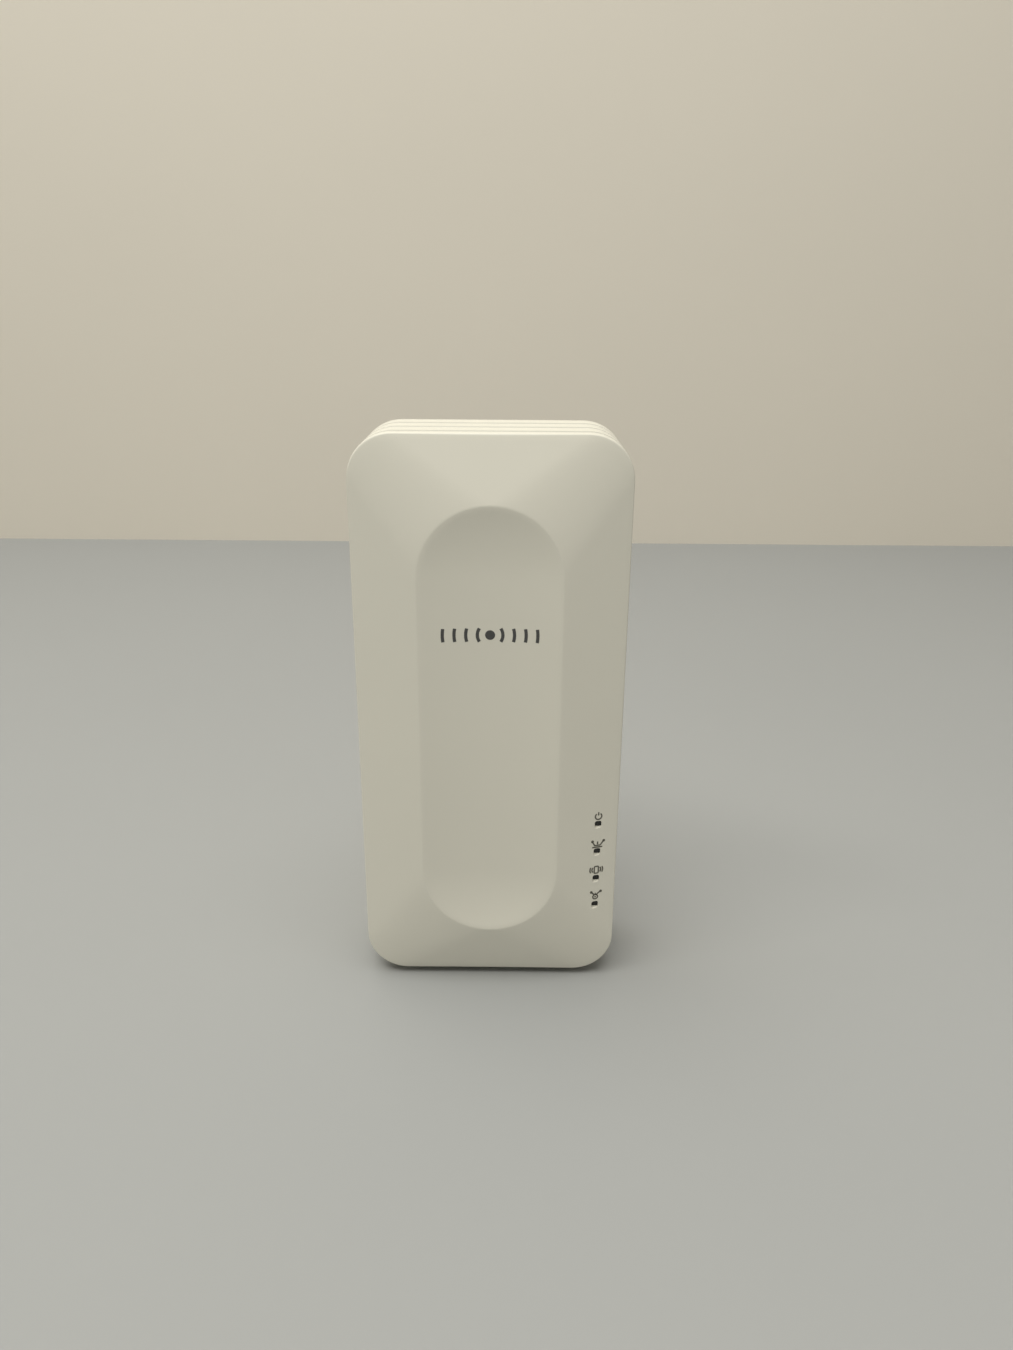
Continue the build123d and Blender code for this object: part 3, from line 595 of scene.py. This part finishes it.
def cover_skin(edge, crest):
    """The cover as rings from inside its skirt, round its rim, up the side and bevel, over the ridge and
    down to the middle of the hollow panel.

    Bevel: each point of the outer ring is joined by a straight line to its partner on the ridge.
    Edges: each is a quadratic curve, edge long at the front outline and crest long at the ridge.
    """
    outer = inset(0)
    ridge = round_rect(PILL_HALF_W, PILL_HALF_H, PILL_R)
    lip = round_rect(PILL_HALF_W - crest, PILL_HALF_H - crest, PILL_R - crest)
    run = ridge - outer
    length = np.linalg.norm(run, axis=1, keepdims=True)
    along = run / length
    slope = -RIDGE / length
    # inside of the skirt, then its rounded rim
    inner = inset(WALL)
    near_inner, near_outer = inset(WALL - INNER_RIM), inset(RIM)
    rings = [ring_at(inner, LINING_START), ring_at(inner, SKIRT - INNER_RIM)]
    rings += list(bend(ring_at(inner, SKIRT - INNER_RIM), ring_at(inner, SKIRT),
                       ring_at(near_inner, SKIRT), 4)[1:])
    rings += list(bend(ring_at(near_outer, SKIRT), ring_at(outer, SKIRT), ring_at(outer, SKIRT - RIM), 5))
    # side and front edge
    corner = ring_at(outer, 0)
    after = np.concatenate([outer + along * edge, slope * edge], 1)[:, [0, 2, 1]]
    rings += list(bend(ring_at(outer, edge), corner, after, 8))
    # bevel
    for share in np.linspace(0, 1, 12)[1:-1]:
        reach = edge + (length - edge - crest) * share
        rings.append(np.concatenate([outer + along * reach, slope * reach], 1)[:, [0, 2, 1]])
    # ridge, then the hollow panel, shrinking to the line up its middle
    before = np.concatenate([ridge - along * crest, -RIDGE - slope * crest], 1)[:, [0, 2, 1]]
    lip_depth = -RIDGE + dish_depth(lip[:, 0], lip[:, 1])
    rings += list(bend(before, ring_at(ridge, -RIDGE), ring_at(lip, lip_depth), 8))
    for share in np.linspace(1, 0, 15)[1:]:
        half_w = max((PILL_HALF_W - crest) * share, 1e-4)
        half_h = DISH_STRAIGHT + (PILL_HALF_H - crest - DISH_STRAIGHT) * share
        ring = round_rect(half_w, half_h, min((PILL_R - crest) * share, half_w * 0.999))
        rings.append(ring_at(ring, -RIDGE + dish_depth(ring[:, 0], ring[:, 1])))
    return np.array(rings)


def cover_lining():
    """The inside of the cover as rings: up the inside of the bevels, in under the ridge, down to the flat
    backing of the panel and across it to the middle."""
    outer = inset(WALL)
    half_w, half_h, radius = (size + LINING_MARGIN for size in (PILL_HALF_W, PILL_HALF_H, PILL_R))
    top = round_rect(half_w, half_h, radius)
    rings = [ring_at(outer, LINING_START)]
    for share in (0.5, 1):
        rings.append(ring_at(outer + (top - outer) * share,
                             LINING_START + (LINING_PEAK - LINING_START) * share))
    rings.append(ring_at(top, LINING_FLOOR))
    for share in (0.6, 0.3, 1e-5):
        ring = round_rect(half_w * share + 1e-4, PILL_HALF_H - PILL_R + radius * share, radius * share)
        rings.append(ring_at(ring, LINING_FLOOR))
    return np.array(rings)


class EXTENDER_OT_front_cover(bpy.types.Operator):
    """Makes the bevelled front cover with its hollow panel and light windows"""

    bl_idname = "extender.front_cover"
    bl_label = "Front cover"

    def execute(self, context):
        points, faces, count = [], [], 0
        for rings in (cover_skin(sizes().front_round / MM, sizes().ridge_round / MM), cover_lining()):
            points.append(metres(rings + (0, 0, HALF_H)).reshape(-1, 3))
            faces.append(grid_faces(*rings.shape[:2], first=count))
            count += rings.shape[0] * rings.shape[1]
        cover = make_object("front_cover_shell", np.concatenate(points), np.concatenate(faces))
        tidy_mesh(cover, 2e-6)
        self.cut_windows(cover)
        sharpen(cover, 40)
        coat(cover, FINISHES["casing_white"])
        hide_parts("front_cover")
        return {"FINISHED"}

    @staticmethod
    def cut_windows(cover):
        """Cuts the four rounded light windows through along the depth.

        In front of the lens each window's sill stands SILL_RISE higher, and from there it falls
        towards the outside by SILL_SLOPE for each millimetre of depth.
        """
        window = round_rect(WINDOW[0] / 2, WINDOW[1] / 2, WINDOW[2], per_corner=6, per_side=1)
        low = np.clip(-window[:, 1] / (WINDOW[1] / 2), 0, 1)
        depths = np.array([CUT_BACK, LENS_FRONT, LENS_FRONT - CUT_STEP, CUT_FRONT])
        rises = SILL_RISE + SILL_SLOPE * (depths - LENS_FRONT)
        rises[:2] = 0
        points, faces, count = [], [], 0
        for height in LED_HEIGHTS:
            ring = window + (LED_X, height)
            prism = np.array([ring_at(ring + np.stack([0 * low, low * rise], 1), depth)
                              for depth, rise in zip(depths, rises)])
            n = len(ring)
            points.append(metres(prism).reshape(-1, 3))
            faces += [f.tolist() for f in grid_faces(4, n, first=count)]
            faces += [list(range(count, count + n)), list(range(count + 4 * n - 1, count + 3 * n - 1, -1))]
            count += 4 * n
        cutter = make_object("window_cutter", np.concatenate(points), faces)
        tidy_mesh(cutter)
        cut = cover.modifiers.new("windows", "BOOLEAN")
        cut.operation, cut.object, cut.solver = "DIFFERENCE", cutter, "EXACT"
        apply_modifiers(cover)
        bpy.data.objects.remove(cutter)


# ---------------------------------------------------------------- flat prints
PRINT_FOOT = -0.02          # how deep prints reach into the surface that they lie on
BEVEL_SLOPE = RIDGE / (HALF_W - PILL_HALF_W)
ICON_LINE = 0.4
ICON_GAPS = (2.6, 2.49, 2.88, 3.42)     # each icon's middle above its window's
ICON_SHIFT = 0.05                       # the icons' middles beside the windows'
MARK_HALF_HEIGHT, MARK_LINE = 1.8, 0.85
MARK_RADII, MARK_DOT = (3.3, 6.3, 9.3, 12.3), 1.3


def ribbon(path, width, top, closed=False):
    """A flat printed line: a low rectangle carried along a path of 2-D points.

    At each point the rectangle stands across the path's direction; returns rings of
    (a, b, lift) points and whether the path closes on itself.
    """
    path = np.asarray(path, float)
    if closed:
        ahead = np.roll(path, -1, 0) - np.roll(path, 1, 0)
    else:
        ahead = np.gradient(path, axis=0)
    ahead /= np.linalg.norm(ahead, axis=1, keepdims=True)
    side = np.stack([-ahead[:, 1], ahead[:, 0]], 1) * width / 2
    rings = [(path - side, PRINT_FOOT), (path + side, PRINT_FOOT), (path + side, top), (path - side, top)]
    return np.stack([np.column_stack([p, np.full(len(p), lift)]) for p, lift in rings], 1), closed


def arc(centre, radius, start, stop, steps=14):
    """Points along a circular arc between two angles in degrees, anticlockwise from the right."""
    angle = np.radians(np.linspace(start, stop, steps))
    return np.asarray(centre) + radius * np.stack([np.cos(angle), np.sin(angle)], 1)


def disc(centre, radius, top, around=20):
    """A flat printed dot, as rings from its foot over its rim to its middle."""
    angle = np.linspace(0, 2 * np.pi, around, endpoint=False)
    circle = np.stack([np.cos(angle), np.sin(angle)], 1)
    rings = [(1e-5, PRINT_FOOT), (radius, PRINT_FOOT), (radius, top), (1e-5, top)]
    return np.array([np.column_stack([circle * r + centre, np.full(around, lift)]) for r, lift in rings])


def print_piece(name, strokes, dots, place):
    """One piece from printed lines and dots, laid on a surface by the function place(a, b, lift)."""
    points, faces, count = [], [], 0
    for rings, closed in strokes:
        n, m = rings.shape[:2]
        points.append(rings.reshape(-1, 3))
        faces += grid_faces(n, m, wrap_rows=closed, first=count).tolist()
        if not closed:
            faces += [[count, count + 1, count + 2, count + 3],
                      [count + n * m - 1, count + n * m - 2, count + n * m - 3, count + n * m - 4]]
        count += n * m
    for rings in dots:
        n, m = rings.shape[:2]
        points.append(rings.reshape(-1, 3))
        faces += grid_faces(n, m, first=count).tolist()
        count += n * m
    flat = np.concatenate(points)
    piece = make_object(name, metres(place(flat[:, 0], flat[:, 1], flat[:, 2])), faces, smooth=False)
    tidy_mesh(piece, 1e-7)
    return piece


def on_bevel(centre):
    """A function that lays a print on the right-hand bevel, centred at a place across and up."""
    lean = np.array([1, BEVEL_SLOPE]) / np.hypot(1, BEVEL_SLOPE)

    def place(a, b, lift):
        x = centre[0] + a * lean[0] + lift * lean[1]
        depth = -(HALF_W - centre[0]) * BEVEL_SLOPE + a * lean[1] - lift * lean[0]
        return np.stack([x, depth, centre[1] + b], 1)
    return place


def on_panel(centre):
    """A function that lays a print on the hollow panel, following its depth point by point."""
    def place(a, b, lift):
        depth = -RIDGE + dish_depth(centre[0] + a, centre[1] + b - HALF_H)
        return np.stack([centre[0] + a, depth - lift, centre[1] + b], 1)
    return place


def on_back(centre, depth):
    """A function that lays a print on the back, read from behind."""
    def place(a, b, lift):
        return np.stack([centre[0] - a, depth + lift, centre[1] + b], 1)
    return place


class EXTENDER_OT_icons(bpy.types.Operator):
    """Prints a generic icon above each status light"""

    bl_idname = "extender.icons"
    bl_label = "Status icons"

    def execute(self, context):
        top = sizes().print_height / MM
        shapes = {
            "icon_power": ([arc((0, 0), 0.95, 125, 415, 28), [(0, 0.3), (0, 0.8), (0, 1.3)]], []),
            "icon_network": (
                [[(-1.5, -0.95), (0, -0.95), (1.5, -0.95)], [(-0.9, -0.4), (0, -0.4), (0.9, -0.4)],
                 [(0.05, -0.1), (0.05, 0.35), (0.05, 0.8)],
                 [(-0.8, -0.4), (-1.05, 0.1), (-1.45, 0.75)], [(0.85, -0.4), (1.25, 0.2), (1.75, 0.8)]],
                [((-1.5, 0.95), 0.42), ((1.85, 0.95), 0.42)]),
            "icon_device": (
                [round_rect(0.62, 1.1, 0.3, 4, 2), arc((0, 0), 1.3, -36, 36), arc((0, 0), 1.3, 144, 216),
                 arc((0, 0), 1.9, -28, 28), arc((0, 0), 1.9, 152, 208)], []),
            "icon_link": (
                [arc((0, -0.77), 0.72, 0, 360, 24)[:-1], [(-0.35, -0.1), (-0.75, 0.4), (-1.1, 0.75)],
                 [(0.35, -0.1), (0.85, 0.4), (1.4, 0.8)], [(0, -0.1), (0, 0.2), (0, 0.5)]],
                [((-1.25, 0.85), 0.42), ((1.6, 0.9), 0.42), ((0.0, -0.77), 0.26)]),
        }
        closed_rings = {("icon_device", 0), ("icon_link", 0)}
        material = ink("icon_ink", tuple(colours().icons))
        for (name, (lines, dots)), height, gap in zip(shapes.items(), LED_HEIGHTS, ICON_GAPS):
            strokes = [ribbon(path, ICON_LINE, top, closed=(name, i) in closed_rings)
                       for i, path in enumerate(lines)]
            piece = print_piece(name, strokes, [disc(c, r, top) for c, r in dots],
                                on_bevel((LED_X + ICON_SHIFT, height + gap)))
            coat(piece, material)
        return {"FINISHED"}


class EXTENDER_OT_mark(bpy.types.Operator):
    """Prints a plain mark of spreading waves on the panel"""

    bl_idname = "extender.mark"
    bl_label = "Front mark"

    def execute(self, context):
        top = sizes().print_height / MM
        strokes = []
        for radius in MARK_RADII:
            reach = np.degrees(np.arcsin(MARK_HALF_HEIGHT / radius))
            for turn in (0, 180):
                strokes.append(ribbon(arc((0, 0), radius, turn - reach, turn + reach), MARK_LINE, top))
        piece = print_piece("front_mark", strokes, [disc((0, 0), MARK_DOT, top, around=32)],
                            on_panel((0, MARK_HEIGHT)))
        coat(piece, ink("mark_ink", tuple(colours().mark)))
        return {"FINISHED"}


class EXTENDER_OT_label_print(bpy.types.Operator):
    """Prints blank ruled fields on the rating label"""

    bl_idname = "extender.label_print"
    bl_label = "Label print"

    def execute(self, context):
        top = LABEL_LIFT
        strokes = [ribbon(round_rect(21.0, 13.0, 1.4, 5, 4), 0.25, top, closed=True)]
        for height in (7.5, 2.5, -2.5):
            strokes.append(ribbon([(-20.8, height), (0, height), (20.8, height)], 0.2, top))
        strokes.append(ribbon([(6, -2.6), (6, -8), (6, -12.9)], 0.2, top))
        strokes.append(ribbon(round_rect(4.6, 3.6, 0.5, 4, 2) + (13.5, -7.8), 0.3, top, closed=True))
        label_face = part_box("rating_label")[1].y / MM - FRONT_Y
        piece = print_piece("label_print", strokes, [], on_back((0, LABEL_HEIGHT), label_face))
        coat(piece, ink("label_ink", (0.12, 0.12, 0.12)))
        return {"FINISHED"}


# ------------------------------------------------------------------- finishes
class EXTENDER_OT_finishes(bpy.types.Operator):
    """Gives every CAD piece its finish"""

    bl_idname = "extender.finishes"
    bl_label = "Finishes"

    def execute(self, context):
        FINISHES.update({
            "casing_white": casing_white("casing_white", tuple(colours().casing)),
            "button_white": moulded("button_white", (0.76, 0.745, 0.70), 0.4),
            "holder_white": moulded("holder_white", (0.72, 0.70, 0.66), 0.5),
            "blade_nickel": plated("blade_nickel", (0.60, 0.57, 0.52), 0.24, (1, 0.04, 1)),
            "contact_brass": plated("contact_brass", (0.80, 0.60, 0.28), 0.32),
            "board_green": laminate("board_green", (0.02, 0.12, 0.06)),
            "chip_black": epoxy("chip_black", (0.025, 0.025, 0.028)),
            "can_steel": plated("can_steel", (0.66, 0.66, 0.65), 0.34, (1, 1, 0.1)),
            "pad_grey": soft("pad_grey", (0.40, 0.46, 0.54)),
            "sink_aluminium": plated("sink_aluminium", (0.62, 0.63, 0.65), 0.36, (1, 1, 0.05)),
            "guide_smoke": film("guide_smoke", (0.012, 0.012, 0.011), 0.2),
            "mask_black": soft("mask_black", (0.015, 0.015, 0.015), 2400),
            "led_body": film("led_body", (0.85, 0.82, 0.55), 0.3),
            "jack_black": moulded("jack_black", (0.014, 0.014, 0.014), 0.45),
            "switch_black": moulded("switch_black", (0.02, 0.02, 0.02), 0.5),
            "plunger_grey": moulded("plunger_grey", (0.30, 0.30, 0.31), 0.4),
            "sheet_milky": film("sheet_milky", (0.70, 0.71, 0.68), 0.35),
            "ferrite": soft("ferrite", (0.05, 0.05, 0.055), 3200),
            "winding_tape": wound("winding_tape", (0.80, 0.58, 0.06), 500, 2, 0.0),
            "copper": wound("copper", (0.72, 0.32, 0.14), 1800, 0),
            "sleeve_dark": film("sleeve_dark", (0.02, 0.025, 0.05), 0.28),
            "capacitor_yellow": film("capacitor_yellow", (0.78, 0.55, 0.05), 0.4),
            "fuse_ceramic": moulded("fuse_ceramic", (0.78, 0.75, 0.68), 0.35),
            "aerial_laminate": laminate("aerial_laminate", (0.02, 0.022, 0.022)),
            "lead_sheath": moulded("lead_sheath", (0.16, 0.16, 0.17), 0.5),
            "connector_gold": plated("connector_gold", (0.85, 0.64, 0.26), 0.25),
            "label_grey": moulded("label_grey", (0.62, 0.62, 0.61), 0.55, 0.3),
            "screw_steel": plated("screw_steel", (0.42, 0.42, 0.43), 0.34),
        })
        for part in frame["record"]["subparts"]:
            node = frame["nodes"][part["node"]]
            for held in node.material_slots:
                held.material = FINISHES[part["material_slot"]]
        return {"FINISHED"}


# ---------------------------------------------------------------------- panel
OPERATORS = (
    EXTENDER_OT_finishes,
    EXTENDER_OT_front_cover,
    EXTENDER_OT_icons,
    EXTENDER_OT_mark,
    EXTENDER_OT_label_print,
    EXTENDER_OT_stage,
)


class EXTENDER_PT_panel(bpy.types.Panel):
    """Lists the pieces of the range extender."""

    bl_idname = "EXTENDER_PT_panel"
    bl_label = "Range extender"
    bl_space_type = "VIEW_3D"
    bl_region_type = "UI"
    bl_category = "Extender"

    def draw(self, context):
        for group in ("extender_sizes", "extender_colours", "extender_lights"):
            held = getattr(context.scene, group)
            for name in held.__annotations__:
                self.layout.prop(held, name)
        for operator in OPERATORS:
            self.layout.operator(operator.bl_idname)


GROUPS = {
    "extender_sizes": ExtenderSizes,
    "extender_colours": ExtenderColours,
    "extender_lights": ExtenderLights,
}


def register():
    """Registers the classes and hangs the properties on the scene."""
    for group in (*GROUPS.values(), *OPERATORS, EXTENDER_PT_panel):
        bpy.utils.register_class(group)
    for name, group in GROUPS.items():
        setattr(bpy.types.Scene, name, bpy.props.PointerProperty(type=group))


def unregister():
    """Takes off what register() added."""
    for name in GROUPS:
        delattr(bpy.types.Scene, name)
    for group in reversed((*GROUPS.values(), *OPERATORS, EXTENDER_PT_panel)):
        bpy.utils.unregister_class(group)


def main():
    """Registers the add-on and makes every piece."""
    register()
    for operator in OPERATORS:
        family, name = operator.bl_idname.split(".")
        getattr(getattr(bpy.ops, family), name)()


if __name__ == "__main__":
    main()
